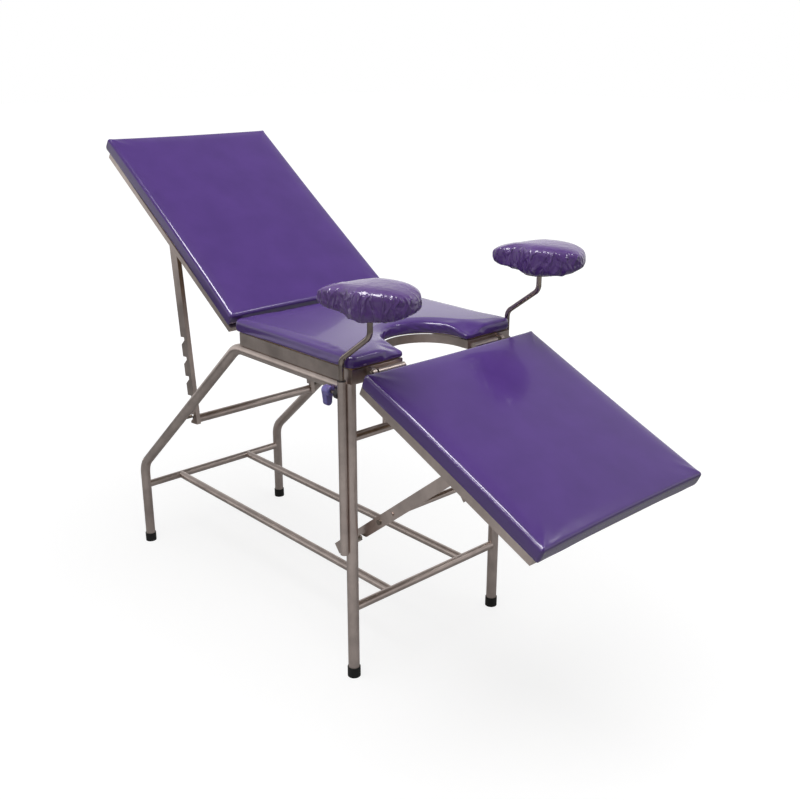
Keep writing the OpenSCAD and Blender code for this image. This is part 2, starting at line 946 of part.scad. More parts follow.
module bush(side) {
    color(nylon) table()
        translate([foot_span, side * guide_y, guide_top])
            difference() {
                union() {
                    translate([0, 0, bush_wall_top - bush_length])
                        cylinder(h = bush_length, d = guide_bore_d - 2 * running_clearance);
                    cylinder(h = bush_wall_top, d = guide_d);
                }
                translate([0, 0, -bush_length])
                    cylinder(h = 2 * bush_length, d = rod_d + 2 * running_clearance);
            }
}

module stirrup_rod(side) {
    low = near_bend_height + lift(side);
    high = low + crank_rise;
    color(steel) table()
        translate([0, side * guide_y, 0])
            bent_bar([[foot_span, low - rod_below_bend], [foot_span, low],
                      [foot_span + crank_reach, high],
                      [foot_span + crank_reach, pad_bottom(side) + socket_depth]],
                     crank_radius, rod_d, bend_swell);
}

module pad_place(side) {
    table()
        translate([foot_span + crank_reach, side * guide_y, pad_bottom(side)])
            rotate([0, 0, pad_turn])
                children();
}

module pad_socket(side) {
    color(dark_steel)
        pad_place(side)
            difference() {
                union() {
                    cylinder(h = socket_plate_thick, d = socket_plate_d);
                    cylinder(h = socket_depth + socket_wall, d = rod_d + 2 * socket_wall);
                }
                translate([0, 0, -overrun])
                    cylinder(h = socket_depth + overrun, d = rod_d + 2 * running_clearance);
            }
}

// A pad is a saddle with a broad belly towards the foot and a narrow, raised nose.
// It is drawn as rings across its length, from the nose (share 0) to the broad end (share 1)
full_turn = 360;
pad_rings = 22;
pad_sides = 28;
pad_shift = -5;
nose_width_share = 0.5;
nose_top_share = 0.9;
nose_bottom_share = 0.13;
swell_start_share = 0.25;
swell_end_share = 0.54;
belly_start_share = 0.2;
belly_end_share = 0.5;
end_power = 2.6;
section_power = 4.2;

function clamped(s) = min(max(s, 0), 1);
function eased(s) = clamped(s) * clamped(s) * (3 - 2 * clamped(s));
function swell(t) = eased((t - swell_start_share) / (swell_end_share - swell_start_share));
function belly(t) = eased((t - belly_start_share) / (belly_end_share - belly_start_share));
function end_share(t) = pow(max(1 - pow(abs(2 * t - 1), end_power), 0), 1 / end_power);
function pad_half_width(t) = pad_width / 2 * end_share(t)
                             * (nose_width_share + (1 - nose_width_share) * swell(t));
function pad_top(t) = pad_thick * (nose_top_share + (1 - nose_top_share) * swell(t));
function pad_foot(t) = pad_thick * nose_bottom_share * (1 - belly(t));
function pad_middle(t) = (pad_top(t) + pad_foot(t)) / 2;
function pad_half_thick(t) = (pad_top(t) - pad_foot(t)) / 2 * end_share(t);
function rounded_share(c) = sign(c) * pow(abs(c), 2 / section_power);
function ring_place(i) = (1 - cos(180 * i / pad_rings)) / 2;
function pad_x(t) = (t - 1 / 2) * pad_length + pad_shift;
function pad_point(t, a) = [pad_x(t), pad_half_width(t) * rounded_share(cos(a)),
                            pad_middle(t) + pad_half_thick(t) * rounded_share(sin(a))];
function ring_spot(i, k) = 1 + (i - 1) * pad_sides + k % pad_sides;

pad_points = concat(
    [[pad_x(0), 0, pad_middle(0)]],
    [for (i = [1 : pad_rings - 1]) for (k = [0 : pad_sides - 1])
        pad_point(ring_place(i), full_turn * k / pad_sides)],
    [[pad_x(1), 0, pad_middle(1)]]);
pad_faces = concat(
    [for (k = [0 : pad_sides - 1]) [0, ring_spot(1, k), ring_spot(1, k + 1)]],
    [for (i = [1 : pad_rings - 2]) for (k = [0 : pad_sides - 1])
        [ring_spot(i, k), ring_spot(i + 1, k), ring_spot(i + 1, k + 1)]],
    [for (i = [1 : pad_rings - 2]) for (k = [0 : pad_sides - 1])
        [ring_spot(i, k), ring_spot(i + 1, k + 1), ring_spot(i, k + 1)]],
    [for (k = [0 : pad_sides - 1])
        [len(pad_points) - 1, ring_spot(pad_rings - 1, k + 1), ring_spot(pad_rings - 1, k)]]);

module pad(side) {
    color(vinyl)
        pad_place(side)
            difference() {
                polyhedron(points = pad_points, faces = pad_faces);
                translate([0, 0, -overrun])
                    cylinder(h = socket_plate_thick + overrun, d = socket_plate_d);
                translate([0, 0, -overrun])
                    cylinder(h = socket_depth + socket_wall + overrun,
                             d = rod_d + 2 * socket_wall);
            }
}

// Clamp screws and their levers point towards the head end
screw_gap = 0.3;
module clamp_place(side) {
    table()
        translate([foot_span - guide_bore_d / 2 - screw_gap, side * guide_y, clamp_height])
            rotate([0, -90, 0])
                children();
}

hub_start = 30;
module clamp_screw(side) {
    color(steel)
        clamp_place(side)
            cylinder(h = hub_start + hub_depth / 2, d = screw_d);
}

// A lever hangs down from its hub and narrows to a round tip
hub_d = 23;
tip_d = 17;
lever_thick = 13;
lever_inset = 0.4;
module clamp_lever(side) {
    tip_x = -lever_reach + tip_d / 2;
    color(knob_lilac)
        clamp_place(side)
            translate([0, 0, hub_start])
                difference() {
                    union() {
                        cylinder(h = hub_depth, d = hub_d);
                        translate([0, 0, hub_depth - lever_thick]) {
                            translate([tip_x, 0, 0]) cylinder(h = lever_thick, d = tip_d);
                            linear_extrude(height = lever_thick)
                                polygon([[0, hub_d / 2 - lever_inset],
                                         [0, lever_inset - hub_d / 2],
                                         [tip_x, lever_inset - tip_d / 2],
                                         [tip_x, tip_d / 2 - lever_inset]]);
                        }
                    }
                    translate([0, 0, -overrun])
                        cylinder(h = hub_depth / 2 + overrun, d = screw_d);
                }
}

side_tube(-1);  // near_side_tube
side_tube(1);  // far_side_tube
front_leg(-1);  // near_front_leg
front_leg(1);  // far_front_leg
cross_tube(0, stretcher_height);  // rear_cross_tube
cross_tube(foot_span, stretcher_height);  // front_cross_tube
floor_tube(-1);  // near_floor_tube
floor_tube(1);  // far_floor_tube
cross_tube(foot_span, upper_cross_height);  // upper_cross_tube
cross_tube_lug();
foot_caps();
rack_pegs();
prop_pegs();
guide_tube(-1);  // near_guide_tube
guide_tube(1);  // far_guide_tube
clamp_collars();
seat_frame();
cutout_band();
seat_board();
seat_cushion();
back_hinge_lugs();
back_hinge_bolts();
leg_hinge_lugs();
leg_hinge_bolts();
leg_hinge_barrels();
back_frame();
back_board();
back_cushion();
back_hinge_ears();
rack_ears();
rack_bolts();
rack(-1);  // near_rack
rack(1);  // far_rack
rack_cross_bar();
leg_frame();
leg_board();
leg_cushion();
leg_hinge_ears();
prop_ears();
prop_bolts();
prop(-1);  // near_prop
prop(1);  // far_prop
prop_cross_rod();
prop_rivets();
bush(-1);  // near_bush
stirrup_rod(-1);  // near_rod
pad_socket(-1);  // near_pad_socket
pad(-1);  // near_pad
bush(1);  // far_bush
stirrup_rod(1);  // far_rod
pad_socket(1);  // far_pad_socket
pad(1);  // far_pad
clamp_screw(-1);  // near_clamp_screw
clamp_lever(-1);  // near_clamp_lever
clamp_screw(1);  // far_clamp_screw
clamp_lever(1);  // far_clamp_lever
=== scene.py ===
# %% [markdown]
# # An examination table with a raised backrest, a lowered leg section and two leg rests
# The steel frame, hinges, racks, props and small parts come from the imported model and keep
# their shapes.
# This script gives them their finishes, and makes the pieces that are soft or moulded: three
# cushions, two leg rest pads and two clamp levers.
# Lengths are metres. X runs from the head end to the foot end and Z is up.

# %% The frame and the tools
import json
import math

import bmesh
import bpy
from mathutils import Matrix, Vector, noise


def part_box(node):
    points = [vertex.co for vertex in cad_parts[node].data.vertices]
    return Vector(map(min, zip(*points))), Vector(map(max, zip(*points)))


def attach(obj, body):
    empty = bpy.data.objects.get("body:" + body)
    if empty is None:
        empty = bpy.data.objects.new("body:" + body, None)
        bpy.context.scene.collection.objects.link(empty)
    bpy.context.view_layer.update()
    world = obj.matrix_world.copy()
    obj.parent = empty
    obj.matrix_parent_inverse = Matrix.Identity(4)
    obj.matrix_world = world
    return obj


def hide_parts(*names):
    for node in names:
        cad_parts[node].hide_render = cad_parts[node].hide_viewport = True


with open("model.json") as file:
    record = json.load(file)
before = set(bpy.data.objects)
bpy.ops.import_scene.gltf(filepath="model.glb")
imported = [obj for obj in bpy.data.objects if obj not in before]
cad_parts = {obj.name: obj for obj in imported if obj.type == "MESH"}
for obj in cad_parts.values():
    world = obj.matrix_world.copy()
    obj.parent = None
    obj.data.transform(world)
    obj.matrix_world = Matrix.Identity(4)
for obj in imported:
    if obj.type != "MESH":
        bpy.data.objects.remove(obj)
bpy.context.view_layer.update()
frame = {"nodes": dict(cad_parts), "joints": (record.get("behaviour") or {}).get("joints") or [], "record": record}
MM = 0.001
PI = math.pi
record = frame["record"]

# %% [markdown]
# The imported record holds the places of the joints, and most pieces below are placed from them.
# A panel, such as the backrest, is easiest to build lying flat with its hinge at the origin.
# A matrix then tilts it and carries it to its hinge.

# %% Places on the table
JOINTS = {joint["name"]: joint for joint in frame["joints"]}


def joint_place(name):
    """Where a joint's axis passes, as a vector."""
    return Vector(JOINTS[name]["pos_m"])


BACK_HINGE = joint_place("backrest_hinge")
LEG_HINGE = joint_place("leg_section_hinge")
BACK_TILT = math.radians(34.8)
LEG_TILT = math.radians(24.1)
BACK_PLACE = (Matrix.Translation(BACK_HINGE) @ Matrix.Rotation(BACK_TILT, 4, "Y")
              @ Matrix.Scale(-1, 4, (1, 0, 0)))
LEG_PLACE = Matrix.Translation(LEG_HINGE) @ Matrix.Rotation(LEG_TILT, 4, "Y")
NEAR, FAR = -1, 1
SIDES = (("near", NEAR), ("far", FAR))
print("backrest hinge", BACK_HINGE[:], "leg section hinge", LEG_HINGE[:])

# %% [markdown]
# The camera stands where the photograph was taken from. Its place and its direction come from
# the straight edges of the table: those that are parallel on the table run to one point in
# the picture.
# The floor and the room are a little different on the camera's side, so that direction over
# the floor is kept here too.

# %% Camera
CAMERA_PLACE = (1.9032, -1.6366, 1.4794)
CAMERA_AZIMUTH = 47.36
CAMERA_DOWN = 19.02
CAMERA_ROLL = 0.09
LENS = 45.11
SENSOR = 36
TOWARDS_CAMERA = (0.757, -0.652, 0)

camera_data = bpy.data.cameras.new("camera")
camera_data.lens = LENS
camera_data.sensor_width = SENSOR
camera = bpy.data.objects.new("camera", camera_data)
bpy.context.scene.collection.objects.link(camera)
camera.matrix_world = (Matrix.Translation(CAMERA_PLACE)
                       @ Matrix.Rotation(math.radians(CAMERA_AZIMUTH), 4, "Z")
                       @ Matrix.Rotation(math.radians(90 - CAMERA_DOWN), 4, "X")
                       @ Matrix.Rotation(math.radians(CAMERA_ROLL), 4, "Z"))
bpy.context.scene.camera = camera
print("camera at", CAMERA_PLACE)

# %% [markdown]
# Colours are written as the sRGB hex values that a picture editor shows. Blender's shaders
# work in linear light, so one function converts them.
# Nodes are added by one small function: it makes the node, sets its values and joins its inputs.

# %% Helpers for materials


def linear(hex_colour):
    """An sRGB hex value, such as "#5b4389", as a linear colour with full alpha."""
    channels = [int(hex_colour[i:i + 2], 16) / 255 for i in (1, 3, 5)]
    return tuple(c / 12.92 if c <= 0.04045 else ((c + 0.055) / 1.055) ** 2.4
                 for c in channels) + (1.0,)


def add_node(tree, kind, links=None, **settings):
    """Adds a node. Settings name its properties or inputs; links join inputs to outputs."""
    node = tree.nodes.new(kind)
    for name, value in settings.items():
        if hasattr(node, name):
            setattr(node, name, value)
        else:
            node.inputs[name.replace("_", " ")].default_value = value
    for name, output in (links or {}).items():
        tree.links.new(output, node.inputs[name])
    return node


def new_material(name):
    """A material with an empty tree: its tree, its shader and the object coordinates."""
    material = bpy.data.materials.new(name)
    material.use_nodes = True
    tree = material.node_tree
    shader = tree.nodes["Principled BSDF"]
    place = tree.nodes.new("ShaderNodeTexCoord").outputs["Object"]
    return material, tree, shader, place


def colour_ramp(tree, factor, *stops):
    """A ramp between hex colours at the places given."""
    node = add_node(tree, "ShaderNodeValToRGB", {"Fac": factor})
    elements = node.color_ramp.elements
    while len(elements) < len(stops):
        elements.new(0.5)
    for element, (where, hex_colour) in zip(elements, stops):
        element.position = where
        element.color = linear(hex_colour)
    return node.outputs["Color"]


print("white is", linear("#ffffff"))

# %% [markdown]
# The cushions are covered in PVC-coated fabric, a glossy purple vinyl. The coat has a faint
# pebble, and the sheet was drawn tight by hand, so its gloss is slightly uneven.
# The clear layer of the coat gives sharp reflections over a softer colour below.
# The real pebble is about half a millimetre, too fine to show, so it is drawn twice as coarse.

# %% Glossy vinyl
PEBBLE = 1.1 * MM
PEBBLE_HEIGHT = 0.2 * MM
TENSION = 90 * MM
TENSION_HEIGHT = 1.0 * MM
GLOSS_DRIFT = 0.06


def glossy_vinyl(name, dark, light, gloss):
    """Vinyl that drifts between two colours. gloss is its lowest roughness."""
    material, tree, shader, place = new_material(name)
    cloudy = add_node(tree, "ShaderNodeTexNoise", {"Vector": place},
                      Scale=1 / TENSION, Detail=3.0, Roughness=0.5)
    pebble = add_node(tree, "ShaderNodeTexVoronoi", {"Vector": place}, Scale=1 / PEBBLE)
    colour = colour_ramp(tree, cloudy.outputs["Fac"], (0.3, dark), (0.7, light))
    low_gloss = add_node(tree, "ShaderNodeMapRange", {"Value": cloudy.outputs["Fac"]},
                         To_Min=gloss, To_Max=gloss + GLOSS_DRIFT)
    fine = add_node(tree, "ShaderNodeBump", {"Height": pebble.outputs["Distance"]},
                    Strength=0.03, Distance=PEBBLE_HEIGHT)
    pulled = add_node(tree, "ShaderNodeBump", {"Height": cloudy.outputs["Fac"],
                                              "Normal": fine.outputs["Normal"]},
                      Strength=0.06, Distance=TENSION_HEIGHT)
    tree.links.new(colour, shader.inputs["Base Color"])
    tree.links.new(low_gloss.outputs["Result"], shader.inputs["Roughness"])
    tree.links.new(pulled.outputs["Normal"], shader.inputs["Normal"])
    shader.inputs["IOR"].default_value = 1.5
    shader.inputs["Coat Weight"].default_value = 0.4
    shader.inputs["Coat Roughness"].default_value = 0.05
    return material


seat_vinyl = glossy_vinyl("purple_vinyl", "#533682", "#593a8a", 0.2)
print("made", seat_vinyl.name)

# %% [markdown]
# The leg rest pads are covered in the same vinyl and still wear the thin clear film they were
# packed in. The film adds no colour. It is crinkled, so it breaks the light into sharp white
# glints and creases. It could be a second, see-through sheet, but a glossy coat with a strong
# bump looks the same from here. Stretched cells give the bump its long ridges, and a noise
# gives it a fine crumple. It grows with the slope: the film lies flat on top of the pad and
# is gathered at its sides.

# %% Vinyl under crinkled film
FACET = 21 * MM
RIDGE_HEIGHT = 3.2 * MM
CRUMPLE = 12 * MM
CRUMPLE_HEIGHT = 0.8 * MM


def filmed_vinyl(name, dark, light):
    """Vinyl that drifts between two colours, under a clear coat with ridges."""
    material, tree, shader, place = new_material(name)
    cloudy = add_node(tree, "ShaderNodeTexNoise", {"Vector": place},
                      Scale=1 / TENSION, Detail=3.0, Roughness=0.5)
    colour = colour_ramp(tree, cloudy.outputs["Fac"], (0.3, dark), (0.7, light))
    drift = add_node(tree, "ShaderNodeTexNoise", {"Vector": place},
                     Scale=1 / (2 * FACET), Detail=3.0)
    warped = add_node(tree, "ShaderNodeVectorMath", {0: drift.outputs["Color"]},
                      operation="SCALE", Scale=1.2 * FACET)
    warped = add_node(tree, "ShaderNodeVectorMath", {0: place, 1: warped.outputs["Vector"]},
                      operation="ADD")
    drawn = add_node(tree, "ShaderNodeMapping", {"Vector": warped.outputs["Vector"]},
                     Rotation=(1.0, 0.8, 0.4), Scale=(1.0, 0.9, 0.3))
    facets = add_node(tree, "ShaderNodeTexVoronoi", {"Vector": drawn.outputs["Vector"]},
                      feature="DISTANCE_TO_EDGE", Scale=1 / FACET)
    ridges = add_node(tree, "ShaderNodeMapRange", {"Value": facets.outputs["Distance"]},
                      interpolation_type="SMOOTHSTEP", From_Min=0.0, From_Max=0.2,
                      To_Min=1.0, To_Max=0.0)
    crumple = add_node(tree, "ShaderNodeTexNoise", {"Vector": place},
                       Scale=1 / CRUMPLE, Detail=3.0, Roughness=0.55)
    facing = add_node(tree, "ShaderNodeSeparateXYZ",
                      {"Vector": add_node(tree, "ShaderNodeNewGeometry").outputs["Normal"]})
    steep = add_node(tree, "ShaderNodeMapRange", {"Value": facing.outputs["Z"]},
                     From_Min=0.9, From_Max=0.45, To_Min=0.1, To_Max=0.8)
    crumpled = add_node(tree, "ShaderNodeBump", {"Height": crumple.outputs["Fac"],
                                                 "Strength": steep.outputs["Result"]},
                        Distance=CRUMPLE_HEIGHT)
    folded = add_node(tree, "ShaderNodeBump", {"Height": ridges.outputs["Result"],
                                               "Strength": steep.outputs["Result"],
                                               "Normal": crumpled.outputs["Normal"]},
                      Distance=RIDGE_HEIGHT)
    tree.links.new(colour, shader.inputs["Base Color"])
    for socket in ("Coat Normal", "Normal"):
        tree.links.new(folded.outputs["Normal"], shader.inputs[socket])
    shader.inputs["Roughness"].default_value = 0.5
    shader.inputs["Specular IOR Level"].default_value = 0.3
    shader.inputs["Coat Weight"].default_value = 0.85
    shader.inputs["Coat Roughness"].default_value = 0.06
    shader.inputs["Coat IOR"].default_value = 1.5
    return material


pad_vinyl = filmed_vinyl("purple_vinyl_in_film", "#532f79", "#613c8c")
print("made", pad_vinyl.name)

# %% [markdown]
# The frame is welded from steel tube and angle iron, ground smooth and plated to a dull warm
# grey. Polishing leaves fine lines, and hands and dust leave cloudy patches.
# One even grey would look like paint, so a noise changes the colour and the roughness from
# place to place. A metal keeps the default IOR: its colour comes from the base colour alone.
# Real polishing lines are much finer than a millimetre. They are drawn coarser, so they show.

# %% Steel finishes
POLISH_LINES = 0.9 * MM
LINE_STRETCH = 6
LINE_DEPTH = 0.15 * MM
SMUDGE = 60 * MM


def plated_steel(name, dark, light, smooth, rough):
    """Steel between two colours, whose roughness drifts from smooth to rough."""
    material, tree, shader, place = new_material(name)
    cloudy = add_node(tree, "ShaderNodeTexNoise", {"Vector": place},
                      Scale=1 / SMUDGE, Detail=5.0, Roughness=0.62)
    stretch = add_node(tree, "ShaderNodeMapping", {"Vector": place},
                       Scale=(1.0, 1.0, LINE_STRETCH))
    lines = add_node(tree, "ShaderNodeTexNoise", {"Vector": stretch.outputs["Vector"]},
                     Scale=1 / (LINE_STRETCH * POLISH_LINES), Detail=4.0)
    colour = colour_ramp(tree, cloudy.outputs["Fac"], (0.35, dark), (0.65, light))
    patchy = add_node(tree, "ShaderNodeMapRange", {"Value": cloudy.outputs["Fac"]},
                      To_Min=smooth, To_Max=rough)
    scratched = add_node(tree, "ShaderNodeBump", {"Height": lines.outputs["Fac"]},
                         Strength=0.12, Distance=LINE_DEPTH)
    tree.links.new(colour, shader.inputs["Base Color"])
    tree.links.new(patchy.outputs["Result"], shader.inputs["Roughness"])
    tree.links.new(scratched.outputs["Normal"], shader.inputs["Normal"])
    shader.inputs["Metallic"].default_value = 1.0
    return material


frame_steel = plated_steel("satin_plated_steel", "#b0a39d", "#c6b8b1", 0.24, 0.38)
rod_steel = plated_steel("polished_rod_steel", "#8f837c", "#a5988f", 0.16, 0.27)
zinc_steel = plated_steel("dull_zinc_steel", "#7a726a", "#958c83", 0.34, 0.5)
print("made", frame_steel.name, rod_steel.name, zinc_steel.name)

# %% [markdown]
# Moulded parts: rubber feet with a dusty matte skin, black plastic collars and bushes, and
# lilac clamp levers of glossy ABS. Moulded plastic has a faint orange-peel skin.
# They are one kind of surface, so one function makes all three. They differ in colour, in
# roughness and in how much of that skin shows.

# %% Moulded rubber and plastic
PEEL = 1.6 * MM
PEEL_DEPTH = 0.2 * MM
MOTTLE = 12 * MM
GLOW_DEPTH = 4 * MM


def moulded(name, dark, light, rough, skin, subsurface=0.0):
    """A moulded finish. skin is how strongly its orange peel shows."""
    material, tree, shader, place = new_material(name)
    cloudy = add_node(tree, "ShaderNodeTexNoise", {"Vector": place},
                      Scale=1 / MOTTLE, Detail=4.0)
    peel = add_node(tree, "ShaderNodeTexNoise", {"Vector": place}, Scale=1 / PEEL, Detail=2.0)
    colour = colour_ramp(tree, cloudy.outputs["Fac"], (0.35, dark), (0.65, light))
    bumpy = add_node(tree, "ShaderNodeBump", {"Height": peel.outputs["Fac"]},
                     Strength=skin, Distance=PEEL_DEPTH)
    tree.links.new(colour, shader.inputs["Base Color"])
    tree.links.new(bumpy.outputs["Normal"], shader.inputs["Normal"])
    shader.inputs["Roughness"].default_value = rough
    shader.inputs["Subsurface Weight"].default_value = subsurface
    shader.inputs["Subsurface Scale"].default_value = GLOW_DEPTH
    return material


black_rubber = moulded("black_rubber", "#141313", "#1e1d1c", 0.75, 0.5)
black_plastic = moulded("black_plastic", "#17141a", "#211c24", 0.4, 0.3)
lilac_abs = moulded("lilac_abs", "#7a70ba", "#8b82c8", 0.3, 0.25, subsurface=0.15)
print("made three moulded finishes")

# %% [markdown]
# The boards under the cushions are raw plywood. Its face shows long soft grain, so a noise
# is stretched along X, the way the sheets were cut. The same noise lifts the grain a little.

# %% Plywood
GRAIN = 5 * MM
GRAIN_DEPTH = 0.3 * MM
GRAIN_STRETCH = 0.06


def raw_plywood():
    """Plywood with its grain along X."""
    material, tree, shader, place = new_material("raw_plywood")
    stretch = add_node(tree, "ShaderNodeMapping", {"Vector": place},
                       Scale=(GRAIN_STRETCH, 1.0, 1.0))
    grain = add_node(tree, "ShaderNodeTexNoise", {"Vector": stretch.outputs["Vector"]},
                     Scale=1 / GRAIN, Detail=6.0, Roughness=0.6, Distortion=0.6)
    colour = colour_ramp(tree, grain.outputs["Fac"], (0.32, "#a5835a"), (0.68, "#cbaa7e"))
    bumpy = add_node(tree, "ShaderNodeBump", {"Height": grain.outputs["Fac"]},
                     Strength=0.3, Distance=GRAIN_DEPTH)
    tree.links.new(colour, shader.inputs["Base Color"])
    tree.links.new(bumpy.outputs["Normal"], shader.inputs["Normal"])
    shader.inputs["Roughness"].default_value = 0.7
    return material


plywood = raw_plywood()
print("made", plywood.name)

# %% [markdown]
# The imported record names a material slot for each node. One table gives each slot its finish,
# so a piece that is made later can take the same one.

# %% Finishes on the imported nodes
FINISHES = {"frame_steel": frame_steel, "rod_steel": rod_steel, "zinc_steel": zinc_steel,
            "black_rubber": black_rubber, "black_plastic": black_plastic,
            "plywood": plywood, "seat_vinyl": seat_vinyl, "pad_vinyl": pad_vinyl,
            "lever_plastic": lilac_abs}
for part in record["subparts"]:
    mesh = frame["nodes"][part["node"]].data
    mesh.materials.clear()
    mesh.materials.append(FINISHES[part["material_slot"]])
print("finished", len(record["subparts"]), "nodes")

# %% [markdown]
# New pieces are built as meshes. One function turns a bmesh into an object, shades it smooth
# and fastens it to the body it moves with. Modifiers do much of the shaping. Their result is
# kept at once, because the later steps read and move its points.

# %% Helpers for pieces


def add_piece(name, mesh_data, body, material):
    """Makes an object from a bmesh, and makes it ride on a body."""
    mesh = bpy.data.meshes.new(name)
    mesh_data.to_mesh(mesh)
    mesh_data.free()
    piece = bpy.data.objects.new(name, mesh)
    bpy.context.scene.collection.objects.link(piece)
    mesh.materials.append(material)
    for face in mesh.polygons:
        face.use_smooth = True
    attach(piece, body)
    return piece


def apply_modifiers(piece):
    """Keeps what the modifiers make of a piece, and takes the modifiers off."""
    view = bpy.context.evaluated_depsgraph_get()
    made = bpy.data.meshes.new_from_object(piece.evaluated_get(view), depsgraph=view)
    old = piece.data
    piece.modifiers.clear()
    piece.data = made
    bpy.data.meshes.remove(old)
    for face in made.polygons:
        face.use_smooth = True


def corners_of(piece):
    """The lowest and the highest corner of the box around a piece."""
    points = [v.co for v in piece.data.vertices]
    low = Vector([min(p[i] for p in points) for i in range(3)])
    high = Vector([max(p[i] for p in points) for i in range(3)])
    return low, high


def fit(piece, low, high):
    """Stretches a piece a little, so that it just fills the box it was cut for."""
    start, end = corners_of(piece)
    for v in piece.data.vertices:
        v.co = Vector([low[i] + (v.co[i] - start[i]) * (high[i] - low[i]) / (end[i] - start[i])
                       for i in range(3)])


def eased(share):
    """A share from 0 to 1 with a soft start and a soft end."""
    share = min(max(share, 0.0), 1.0)
    return share * share * (3 - 2 * share)


print("piece helpers ready")

# %% [markdown]
# A cushion is a slab of foam on a board, with vinyl drawn over it and stapled underneath. The
# vinyl pulls the foam's edges round and the sides in between the corners, and the top crowns.
# It could be a bevelled box, but then its sides stay straight. Here a box of small faces is
# moved onto a form that a distance gives, and cloth under a light pressure adds the swell.
# First comes the box. Its lines lie close together near the edges, where the form is round.

# %% A box of small faces
CELL = 7 * MM
EDGE_LINES = [0, 1.2 * MM, 2.8 * MM, 4.8 * MM, 7.2 * MM, 10.5 * MM]


def grid_lines(length):
    """Places along a side: close together at its ends, where the edges are rounded."""
    start = EDGE_LINES[-1]
    count = max(round((length - 2 * start) / CELL), 1)
    inner = [start + (length - 2 * start) * i / count for i in range(1, count)]
    return EDGE_LINES + inner + [length - e for e in reversed(EDGE_LINES)]


def grid_box(length, width, thick):
    """A closed box of small faces, whose lines run straight along its edges."""
    xs = grid_lines(length)
    ys = [y - width / 2 for y in grid_lines(width)]
    zs = grid_lines(thick)
    mesh_data = bmesh.new()
    points = {}

    def corner_at(*key):
        if key not in points:
            i, j, k = key
            points[key] = mesh_data.verts.new((xs[i], ys[j], zs[k]))
        return points[key]

    square = ((0, 0), (1, 0), (1, 1), (0, 1))
    nx, ny, nz = len(xs) - 1, len(ys) - 1, len(zs) - 1
    for i in range(nx):
        for j in range(ny):
            for k in (0, nz):
                mesh_data.faces.new([corner_at(i + a, j + b, k) for a, b in square])
        for k in range(nz):
            for j in (0, ny):
                mesh_data.faces.new([corner_at(i + a, j, k + b) for a, b in square])
    for j in range(ny):
        for k in range(nz):
            for i in (0, nx):
                mesh_data.faces.new([corner_at(i, j + a, k + b) for a, b in square])
    bmesh.ops.recalc_face_normals(mesh_data, faces=mesh_data.faces)
    return mesh_data


print("a side of 0.5 m has", len(grid_lines(0.5)), "lines")

# %% [markdown]
# The form is a function: it says how far a point lies outside a slab with drawn-in sides and
# round edges. Each point of the box is moved along the function's slope by that distance. It
# could be sculpted, but a function gives the same clean edge on every cushion.

# %% The surface of a cushion
EDGE = 10 * MM
PULL = 3 * MM
NUDGE = 0.2 * MM


def rounded(one, two, radius):
    """Joins two distances so that the corner between their faces is round."""
    one, two = one + radius, two + radius
    return (min(max(one, two), 0) + math.hypot(max(one, 0), max(two, 0))) - radius


def cushion_distance(p, size, cutout):
    """How far a point lies outside a cushion with drawn-in sides and round edges."""
    length, width, thick = size["length"], size["width"], size["thick"]
    across = 1 - (2 * p[1] / width) ** 2
    along = 1 - (2 * p[0] / length - 1) ** 2
    plan = rounded(abs(p[0] - length / 2) - length / 2 + PULL * max(across, 0),
                   abs(p[1]) - width / 2 + PULL * max(along, 0), size["corner"])
    if cutout:
        centre, radius = cutout
        hollow = radius - (math.hypot(p[0] - centre, p[1]) if p[0] < centre else abs(p[1]))
        plan = rounded(plan, hollow, size["horn"])
    return rounded(plan, abs(p[2] - thick / 2) - thick / 2, EDGE)


def snap(piece, size, cutout):
    """Moves every point of a piece onto the cushion's surface."""
    steps = [Vector((NUDGE, 0, 0)), Vector((0, NUDGE, 0)), Vector((0, 0, NUDGE))]
    for v in piece.data.vertices:
        for _ in range(2):
            away = cushion_distance(v.co, size, cutout)
            slope = Vector([(cushion_distance(v.co + step, size, cutout) - away) / NUDGE
                            for step in steps])
            if slope.length > 0.1:
                v.co -= slope * (away / slope.length_squared)


print("edges rounded to", EDGE, "m, sides drawn in by", PULL, "m")

# %% [markdown]
# Three small steps are used again and again. A voxel remesh rebuilds a piece from even faces,
# smoothing takes small steps out of it, and a subdivision makes its outline round.

# %% Evening out a mesh


def remesh(piece, voxel):
    """Rebuilds a piece from small even faces, each about a voxel wide."""
    modifier = piece.modifiers.new("even", "REMESH")
    modifier.mode = "VOXEL"
    modifier.voxel_size = voxel
    apply_modifiers(piece)


def smooth_points(piece, times):
    """Evens out the points of a piece, a number of times over."""
    modifier = piece.modifiers.new("even", "SMOOTH")
    modifier.iterations = times
    apply_modifiers(piece)


def subdivide(piece):
    """Splits every face of a piece in four, with smooth corners."""
    piece.modifiers.new("finer", "SUBSURF").levels = 1
    apply_modifiers(piece)


print("mesh helpers ready")

# %% [markdown]
# Foam pushes the vinyl out, and the vinyl holds it in. Cloth that is blown up by a light
# pressure, with no gravity, does the same. The foot is held, as the staples hold it, and how
# far a point may move is capped, so the cushion keeps its place between the steel.

# %% Cloth under pressure
SIM_FRAMES = 20


